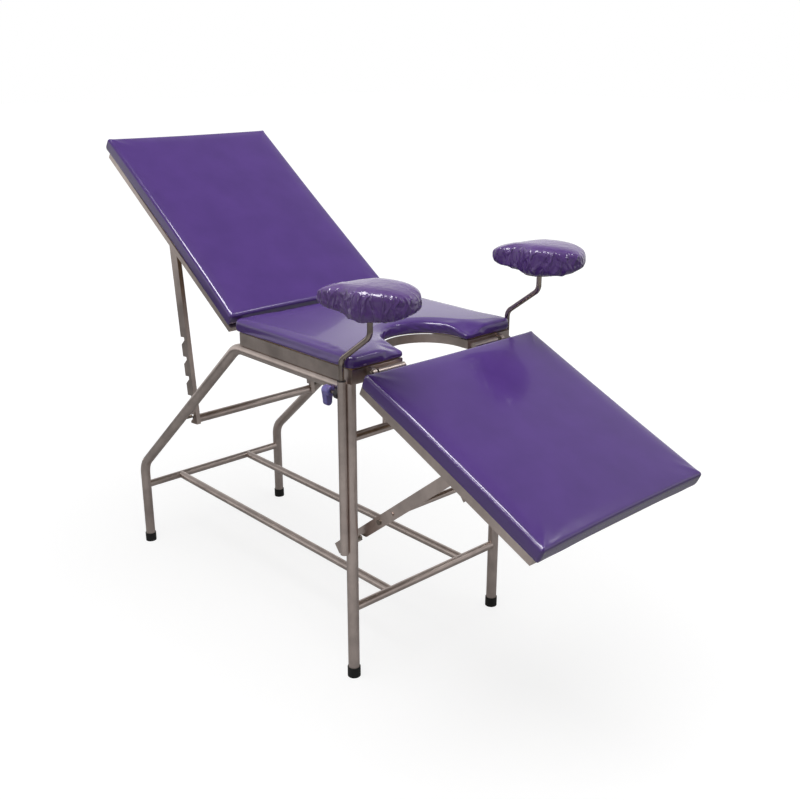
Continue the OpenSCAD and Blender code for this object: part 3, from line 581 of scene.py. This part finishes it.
def blow_up(piece, held, cap, pressure, stiffness):
    """Fills a piece with a light pressure. held(point) is 1 where the cloth is fastened."""
    before = [v.co.copy() for v in piece.data.vertices]
    group = piece.vertex_groups.new(name="held")
    for v in piece.data.vertices:
        weight = held(v.co)
        if weight > 0:
            group.add([v.index], weight, "REPLACE")
    cloth = piece.modifiers.new("cloth", "CLOTH")
    settings = cloth.settings
    settings.quality = 4
    settings.mass = 0.3
    settings.tension_stiffness = stiffness
    settings.compression_stiffness = stiffness
    settings.shear_stiffness = stiffness / 2
    settings.bending_stiffness = 4
    settings.use_pressure = True
    settings.uniform_pressure_force = pressure
    settings.effector_weights.gravity = 0
    settings.vertex_group_mass = "held"
    cloth.collision_settings.use_collision = False
    cloth.point_cache.frame_start = 1
    cloth.point_cache.frame_end = SIM_FRAMES
    for number in range(1, SIM_FRAMES + 1):
        bpy.context.scene.frame_set(number)
    apply_modifiers(piece)
    bpy.context.scene.frame_set(1)
    moved = 0.0
    for v, start in zip(piece.data.vertices, before):
        step = v.co - start
        moved = max(moved, min(step.length, cap))
        if step.length > cap:
            v.co = start + step * (cap / step.length)
    return moved


def finish_soft(piece, place):
    subdivide(piece)
    piece.data.transform(place)
    if place.determinant() < 0:
        piece.data.flip_normals()


print("the cloth runs for", SIM_FRAMES, "frames")

# %% [markdown]
# The backrest and the leg section have plain cushions. The seat's cushion has a round mouth
# at its front, with a horn on each side. It could be drawn as an outline and extruded, but a
# boolean cuts the mouth from the same box that the other two start from.

# %% The mouth of the seat
CUTOUT = (436 * MM, 110 * MM)
MOUTH_STEP = 6


def cut_round(piece, cutout):
    """Cuts the round mouth out of a box, for the cushion that has one."""
    centre, radius = cutout
    mesh_data = bmesh.new()
    outline = [(centre + radius * math.cos(math.radians(a)), radius * math.sin(math.radians(a)))
               for a in range(90, 271, MOUTH_STEP)]
    outline = [(centre + 2 * radius, radius)] + outline + [(centre + 2 * radius, -radius)]
    rings = [[mesh_data.verts.new((x, y, z)) for x, y in outline] for z in (-radius, radius)]
    mesh_data.faces.new(rings[0])
    mesh_data.faces.new(rings[1])
    for i in range(len(outline)):
        j = (i + 1) % len(outline)
        mesh_data.faces.new((rings[0][i], rings[0][j], rings[1][j], rings[1][i]))
    bmesh.ops.recalc_face_normals(mesh_data, faces=mesh_data.faces)
    mesh = bpy.data.meshes.new("cutter")
    mesh_data.to_mesh(mesh)
    mesh_data.free()
    cutter = bpy.data.objects.new("cutter", mesh)
    bpy.context.scene.collection.objects.link(cutter)
    modifier = piece.modifiers.new("mouth", "BOOLEAN")
    modifier.operation = "DIFFERENCE"
    modifier.object = cutter
    modifier.solver = "EXACT"
    apply_modifiers(piece)
    bpy.data.objects.remove(cutter)
    bpy.data.meshes.remove(mesh)


print("the mouth is", 2 * CUTOUT[1], "m wide")

# %% [markdown]
# Each cushion starts slightly small, so that it swells to its size. Its middle stands a few
# millimetres above its edges, and it gets slow shallow waves, because foam under vinyl is
# never quite flat. A cushion with a mouth is remeshed, which evens out the faces along the
# cut. The tips of its horns are drawn down and inwards, as vinyl is when it is folded under.

# %% Making a cushion
VOXEL = 4.2 * MM
START_SMALL = 1.5 * MM
CROWN = 4 * MM
HELD_BAND = 2 * MM
PRESSURE = 4.0
STIFFNESS = 40
TIP_REACH = 75 * MM
TIP_DROP = 0.5
TIP_DRAW = 5 * MM
SWELL_CAP = 2.5 * MM
UNDERSIDE = 0.6 * MM
WAVE = 150 * MM
WAVE_HEIGHT = 0.6 * MM


def make_cushion(name, size, body, place, cutout=None):
    """Makes a cushion lying flat and carries it to its place. cutout: a centre and a radius."""
    length, width, thick = size["length"], size["width"], size["thick"]
    smaller = dict(size, thick=thick - CROWN)
    piece = add_piece(name, grid_box(length, width, thick - CROWN), body, seat_vinyl)
    if cutout:
        cut_round(piece, cutout)
        remesh(piece, VOXEL)
    snap(piece, smaller, cutout)
    if cutout:
        smooth_points(piece, 3)
    for v in piece.data.vertices:
        across = 1 - (2 * v.co.y / width) ** 2
        along = 1 - (2 * v.co.x / length - 1) ** 2
        rise = CROWN * (v.co.z / thick) * (max(across, 0) * max(along, 0)) ** 0.5
        shrink = Vector((v.co.x - length / 2, v.co.y, 0)).normalized() * START_SMALL
        v.co += Vector((0, 0, rise)) - shrink
    if cutout:
        for v in piece.data.vertices:
            tip = math.hypot(v.co.x - length, abs(v.co.y) - cutout[1])
            near_tip = eased(1 - tip / TIP_REACH)
            v.co.z *= 1 - TIP_DROP * near_tip
            v.co.y -= math.copysign(TIP_DRAW * near_tip, v.co.y)
    moved = blow_up(piece, lambda p: 1.0 if p.z < HELD_BAND else 0.0,
                    SWELL_CAP, PRESSURE, STIFFNESS)
    print(name, "swelled by", round(moved / MM, 1), "mm")
    for v in piece.data.vertices:
        wave = noise.noise(v.co / WAVE)
        v.co += Vector((0, 0, 1)) * wave * WAVE_HEIGHT * (v.co.z / thick)
    fit(piece, (0, -width / 2, UNDERSIDE), (length, width / 2, thick))
    finish_soft(piece, place)
    return piece


print("a cushion swells by", SWELL_CAP, "m at most")

# %% [markdown]
# The backrest's cushion starts a little behind its hinge and the leg section's a little in
# front of its own, so that the panels can fold. The seat's cushion takes its place from the
# packed one.

# %% The three cushions
BACK_CUSHION = dict(length=715 * MM, width=538 * MM, thick=44 * MM, corner=8 * MM)
LEG_CUSHION = dict(length=569 * MM, width=560 * MM, thick=46 * MM, corner=8 * MM)
SEAT_CUSHION = dict(length=471 * MM, width=538 * MM, thick=37 * MM, corner=20 * MM,
                    horn=10 * MM)
BACK_START, BACK_FOOT = 27 * MM, 5 * MM
LEG_START, LEG_FOOT = 34 * MM, 1 * MM
back_cushion = make_cushion("backrest_cushion", BACK_CUSHION, "backrest",
                            BACK_PLACE @ Matrix.Translation((BACK_START, 0, BACK_FOOT)))
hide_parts("back_cushion")
leg_cushion = make_cushion("leg_section_cushion", LEG_CUSHION, "leg_section",
                           LEG_PLACE @ Matrix.Translation((LEG_START, 0, LEG_FOOT)))
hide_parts("leg_cushion")
SEAT_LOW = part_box("seat_cushion")[0]
seat_cushion = make_cushion("seat_top_cushion", SEAT_CUSHION, "base",
                            Matrix.Translation((SEAT_LOW[0], 0, SEAT_LOW[2])),
                            cutout=CUTOUT)
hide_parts("seat_cushion")
print("three cushions")

# %% [markdown]
# A leg rest pad is a moulded foam saddle, broad towards the foot and narrow at the nose.
# It could be carved from a block, but its outline is easier to read as rings across its
# length. One function gives each ring's width, foot and top, and how far it shrinks where
# the pad rounds off.

# %% The outline of a leg rest pad
PAD_LENGTH = 231 * MM
PAD_WIDTH = 154 * MM
PAD_THICK = 80 * MM
PAD_SHIFT = -5 * MM
NOSE_WIDTH = 0.5
NOSE_TOP = 0.9
NOSE_FOOT = 0.13
END_ROUNDNESS = 2.6


def pad_ring(t):
    """Half width, foot and top of the pad at a share t of its length, and its end's share."""
    end = max(1 - abs(2 * t - 1) ** END_ROUNDNESS, 0) ** (1 / END_ROUNDNESS)
    swell = eased((t - 0.25) / 0.29)
    half_width = PAD_WIDTH / 2 * (NOSE_WIDTH + (1 - NOSE_WIDTH) * swell)
    top = PAD_THICK * (NOSE_TOP + (1 - NOSE_TOP) * swell)
    foot = PAD_THICK * NOSE_FOOT * (1 - eased((t - 0.2) / 0.3))
    return half_width, foot, top, end


print("a pad is", PAD_LENGTH, "m long")

# %% [markdown]
# The rings are lofted: each is a rounded box, joined to the next by faces. They lie closer
# together towards the ends, where the pad rounds off quickly.

# %% Lofting a pad
PAD_RINGS = 64
PAD_SIDES = 84
SIDE_ROUNDNESS = 4.2
POINT = 1e-6


def pad_loft():
    """The pad as rings from nose to heel, each ring a rounded box."""
    mesh_data = bmesh.new()
    rings = []
    for i in range(PAD_RINGS + 1):
        t = (1 - math.cos(PI * i / PAD_RINGS)) / 2
        half_width, foot, top, end = pad_ring(t)
        x = (t - 0.5) * PAD_LENGTH + PAD_SHIFT
        middle, half_thick = (top + foot) / 2, (top - foot) / 2 * end
        if end < POINT:
            rings.append([mesh_data.verts.new((x, 0, middle))])
            continue
        ring = []
        for k in range(PAD_SIDES):
            angle = 2 * PI * k / PAD_SIDES
            c, d = math.cos(angle), math.sin(angle)
            y = half_width * end * math.copysign(abs(c) ** (2 / SIDE_ROUNDNESS), c)
            z = middle + half_thick * math.copysign(abs(d) ** (2 / SIDE_ROUNDNESS), d)
            ring.append(mesh_data.verts.new((x, y, z)))
        rings.append(ring)
    for one, two in zip(rings, rings[1:]):
        for k in range(PAD_SIDES):
            j = (k + 1) % PAD_SIDES
            if len(one) == 1:
                mesh_data.faces.new((one[0], two[j], two[k]))
            elif len(two) == 1:
                mesh_data.faces.new((one[k], one[j], two[0]))
            else:
                mesh_data.faces.new((one[k], one[j], two[j], two[k]))
    bmesh.ops.recalc_face_normals(mesh_data, faces=mesh_data.faces)
    return mesh_data


print("a pad has", PAD_RINGS + 1, "rings")

# %% [markdown]
# The film is creased where it is gathered, under the belly and round the waist, and is
# nearly smooth on top. Ridges that run down the sides lift the surface a little, and a noise
# with sharp crests adds short creases. Each pad starts from its own spot in the noise, so
# the two don't match.

# %% Film folds
FOLD_HEIGHT = 2.6 * MM
FOLDS_ROUND = 9
FOLD_DRIFT = 45 * MM
FOLD_SHARPNESS = 4
SHORT_CREASES = 0.35
APART = Vector((7.3, 3.1, 0))


def fold_film(piece, seed):
    """Lifts folds that run down the sides of a pad to the place where the film is gathered."""
    mesh = piece.data
    normals = [v.normal.copy() for v in mesh.vertices]
    low, high = corners_of(piece)
    for v, normal in zip(mesh.vertices, normals):
        share = (v.co.z - low.z) / (high.z - low.z)
        gathered = 1 - eased((share - 0.1) / 0.75)
        spot = v.co / FOLD_DRIFT + seed * APART
        turn = math.atan2(v.co.y, v.co.x) + 0.5 * noise.noise(spot) + 0.5 * share
        ridge = (1 - abs(math.sin(FOLDS_ROUND * turn / 2))) ** FOLD_SHARPNESS
        crease = 1 - abs(noise.noise(spot * 2.2)) * 2.5
        short = SHORT_CREASES * max(crease, 0) ** 3
        lift = ridge * gathered + short * (0.25 + 0.75 * gathered)
        v.co += normal * lift * FOLD_HEIGHT
    print(piece.name, "creased")


print("folds stand up to", FOLD_HEIGHT, "m high")

# %% [markdown]
# A pad is filled by the same cloth as the cushions. Then its faces are made small enough to
# carry the folds. Both pads stand on their rods turned the same way.

# %% The two leg rest pads
PAD_TURN = math.radians(27)
PAD_HELD = 6 * MM
PAD_CAP = 4 * MM
PAD_PRESSURE = 3.0
PAD_STIFFNESS = 30
PAD_LIFT = 0.3 * MM


def make_pad(side_name, side):
    """Lofts a pad, swells it, creases it and sets it on its rod."""
    piece = add_piece(side_name + "_rest_pad", pad_loft(), side_name + "_pad_body",
                      pad_vinyl)
    low, high = corners_of(piece)
    blow_up(piece, lambda p: 1.0 if p.z < PAD_HELD else 0.0,
            PAD_CAP, PAD_PRESSURE, PAD_STIFFNESS)
    smooth_points(piece, 2)
    fit(piece, low, high)
    subdivide(piece)
    fold_film(piece, side)
    fit(piece, low + Vector((0, 0, PAD_LIFT)), high)
    place = (Matrix.Translation(joint_place(side_name + "_pad_swivel"))
             @ Matrix.Rotation(PAD_TURN, 4, "Z"))
    piece.data.transform(place)
    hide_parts(side_name + "_pad")


for side_name, side in SIDES:
    make_pad(side_name, side)
print("two pads")

# %% [markdown]
# The clamp levers are moulded with soft shoulders and a fat lobe for the thumb. The packed
# lever has the right size and sharp edges, so a copy of it is swelled a little and its edges
# are melted round. The lever hangs beside its screw and turns with it.

# %% Clamp levers
LEVER_VOXEL = 1.3 * MM
LEVER_SWELL = 1.6 * MM
SIDEWAYS = 0.3


def make_lever(side_name):
    """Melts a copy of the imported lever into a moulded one."""
    node = frame["nodes"][side_name + "_clamp_lever"]
    mesh_data = bmesh.new()
    mesh_data.from_mesh(node.data)
    mesh_data.transform(node.matrix_world)
    piece = add_piece(side_name + "_lever_moulding", mesh_data, side_name + "_clamp",
                      lilac_abs)
    remesh(piece, LEVER_VOXEL)
    low, high = corners_of(piece)
    smooth_points(piece, 5)
    for v, normal in zip(piece.data.vertices, [v.normal.copy() for v in piece.data.vertices]):
        lobe = eased((v.co.z - low.z) / (high.z - low.z))
        outwards = Vector((normal.x, normal.y * SIDEWAYS, normal.z * SIDEWAYS))
        v.co += outwards * LEVER_SWELL * (1 + lobe)
    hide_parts(side_name + "_clamp_lever")


for side_name, _ in SIDES:
    make_lever(side_name)
print("two levers")

# %% [markdown]
# The table stands on a wide pale floor. Lamps that make a floor this white would bleach the
# table, so the floor glows by itself. To the camera it is almost white, and a little less
# under the table, where its shadow falls. Shiny surfaces see a weaker glow, because steel
# that mirrors a white floor all over looks flat. The glow throws no light onto the table.

# %% Floor
FLOOR_SIZE = 60.0
mesh_data = bmesh.new()
bmesh.ops.create_grid(mesh_data, x_segments=1, y_segments=1, size=FLOOR_SIZE / 2)
floor_mesh = bpy.data.meshes.new("floor")
mesh_data.to_mesh(floor_mesh)
mesh_data.free()
floor = bpy.data.objects.new("floor", floor_mesh)
bpy.context.scene.collection.objects.link(floor)
print("floor", FLOOR_SIZE, "m wide")

# %% [markdown]
# The glow that shiny surfaces see depends on the place on the floor. Near the table it is
# weak, and a little stronger on the camera's side. In a ring around that it fades almost to
# nothing, which gives the steel its dark lines. Far out it meets the white room.

# %% The floor's glow
pale_floor, tree, shader, place = new_material("pale_floor")
shader.inputs["Base Color"].default_value = linear("#848484")
shader.inputs["Roughness"].default_value = 0.9
distance = add_node(tree, "ShaderNodeVectorMath", {0: place}, operation="LENGTH")
seen = add_node(tree, "ShaderNodeMapRange", {"Value": distance.outputs["Value"]},
                interpolation_type="SMOOTHSTEP", From_Min=0.6, From_Max=3.0,
                To_Min=0.82, To_Max=1.0)
front = add_node(tree, "ShaderNodeVectorMath", {0: place}, operation="DOT_PRODUCT")
front.inputs[1].default_value = TOWARDS_CAMERA
camera_side = add_node(tree, "ShaderNodeMapRange", {"Value": front.outputs["Value"]},
                       interpolation_type="SMOOTHSTEP", From_Min=-0.2, From_Max=1.2,
                       To_Min=0.18, To_Max=0.36)
near_patch = add_node(tree, "ShaderNodeMapRange", {"Value": distance.outputs["Value"]},
                      interpolation_type="SMOOTHSTEP", From_Min=1.7, From_Max=2.8,
                      To_Min=1.0, To_Max=0.15)
far_sweep = add_node(tree, "ShaderNodeMapRange", {"Value": distance.outputs["Value"]},
                     interpolation_type="SMOOTHSTEP", From_Min=4.0, From_Max=6.5,
                     To_Min=0.0, To_Max=0.7)
mirrored = add_node(tree, "ShaderNodeMath", {0: camera_side.outputs["Result"],
                                             1: near_patch.outputs["Result"],
                                             2: far_sweep.outputs["Result"]},
                    operation="MULTIPLY_ADD")
path = add_node(tree, "ShaderNodeLightPath")
shiny = add_node(tree, "ShaderNodeMath", {0: path.outputs["Is Glossy Ray"],
                                          1: path.outputs["Is Transmission Ray"]},
                 operation="MAXIMUM")
glow = add_node(tree, "ShaderNodeMath", {0: seen.outputs["Result"],
                                         1: path.outputs["Is Camera Ray"]},
                operation="MULTIPLY")
glow = add_node(tree, "ShaderNodeMath", {0: mirrored.outputs["Value"],
                                         1: shiny.outputs["Value"],
                                         2: glow.outputs["Value"]},
                operation="MULTIPLY_ADD")
shader.inputs["Emission Color"].default_value = (1, 1, 1, 1)
tree.links.new(glow.outputs["Value"], shader.inputs["Emission Strength"])
floor_mesh.materials.append(pale_floor)
print("made", pale_floor.name)

# %% [markdown]
# A large soft box above gives the plain light, and a weak one fills in from the camera's side.
# Both are hidden from shiny surfaces. Three smaller lamps do the opposite: they light nothing
# and only draw the thin bright lines along the glossy edges. Each hangs where an edge of a
# cushion mirrors it to the camera.

# %% Lamps


def soft_lamp(name, place, size, power, target=None):
    """A rectangular lamp of so many watts that looks at its target, or straight down."""
    data = bpy.data.lights.new(name, "AREA")
    data.shape = "RECTANGLE"
    data.size, data.size_y = size
    data.energy = power
    lamp = bpy.data.objects.new(name, data)
    bpy.context.scene.collection.objects.link(lamp)
    lamp.location = place
    if target:
        aim = Vector(target) - Vector(place)
        lamp.rotation_euler = aim.to_track_quat("-Z", "Y").to_euler()
    return lamp


MIDDLE = (0.0, 0.0, 0.8)
edge_lamps = (
    soft_lamp("near_ceiling_strip", (0.15, -0.85, 2.95), (1.6, 0.8), 68),
    soft_lamp("far_ceiling_panel", (1.75, 1.65, 2.95), (0.6, 0.6), 15),
    soft_lamp("near_side_lamp", (0.25, -2.7, 2.9), (0.8, 0.2), 18, target=MIDDLE))
plain_lamps = (
    soft_lamp("top_box", (0.7, -0.3, 4.0), (3.5, 3.5), 125),
    soft_lamp("camera_side_fill", (1.2, -2.8, 1.6), (1.6, 1.6), 12, target=MIDDLE))
for lamp in edge_lamps:
    lamp.visible_diffuse = False
for lamp in plain_lamps:
    lamp.visible_glossy = False
print(len(plain_lamps), "lamps for light and", len(edge_lamps), "for highlights")

# %% [markdown]
# The room is white round the walls and grey at the ceiling, so the tops of the cushions keep
# their colour and the seat, which is seen at a flat angle, gets its pale sheen. It is darker
# on the camera's side, so the near sides stay deep in colour. The camera itself always sees
# white.

# %% Room
world = bpy.data.worlds.new("studio")
bpy.context.scene.world = world
world.use_nodes = True
tree = world.node_tree
around = add_node(tree, "ShaderNodeTexCoord").outputs["Generated"]
direction = add_node(tree, "ShaderNodeSeparateXYZ", {"Vector": around})
room = colour_ramp(tree, direction.outputs["Z"], (0.0, "#ffffff"), (0.2, "#ffffff"),
                   (0.36, "#d8d8d8"), (0.7, "#a8a8a8"), (0.85, "#707070"), (1.0, "#606060"))
front = add_node(tree, "ShaderNodeVectorMath", {0: around}, operation="DOT_PRODUCT")
front.inputs[1].default_value = TOWARDS_CAMERA
dim_side = add_node(tree, "ShaderNodeMapRange", {"Value": front.outputs["Value"]},
                    interpolation_type="SMOOTHSTEP", From_Min=0.0, From_Max=0.6,
                    To_Min=1.0, To_Max=0.3)
path = add_node(tree, "ShaderNodeLightPath")
shown = add_node(tree, "ShaderNodeMath", {0: path.outputs["Is Camera Ray"],
                                          1: path.outputs["Is Glossy Ray"]},
                 operation="MAXIMUM")
shown = add_node(tree, "ShaderNodeMath", {0: shown.outputs["Value"],
                                          1: path.outputs["Is Transmission Ray"]},
                 operation="MAXIMUM")
strength = add_node(tree, "ShaderNodeMapRange", {"Value": shown.outputs["Value"]},
                    To_Min=0.5, To_Max=1.0)
dim_side = add_node(tree, "ShaderNodeMath", {0: dim_side.outputs["Result"],
                                             1: path.outputs["Is Camera Ray"]},
                    operation="MAXIMUM")
strength = add_node(tree, "ShaderNodeMath", {0: strength.outputs["Result"],
                                             1: dim_side.outputs["Value"]},
                    operation="MULTIPLY")
room = add_node(tree, "ShaderNodeVectorMath", {0: room, 1: path.outputs["Is Camera Ray"]},
                operation="MAXIMUM")
tree.links.new(room.outputs["Vector"], tree.nodes["Background"].inputs["Color"])
tree.links.new(strength.outputs["Value"], tree.nodes["Background"].inputs["Strength"])
bpy.context.scene.view_settings.view_transform = "Standard"
print("a white room with a grey ceiling")
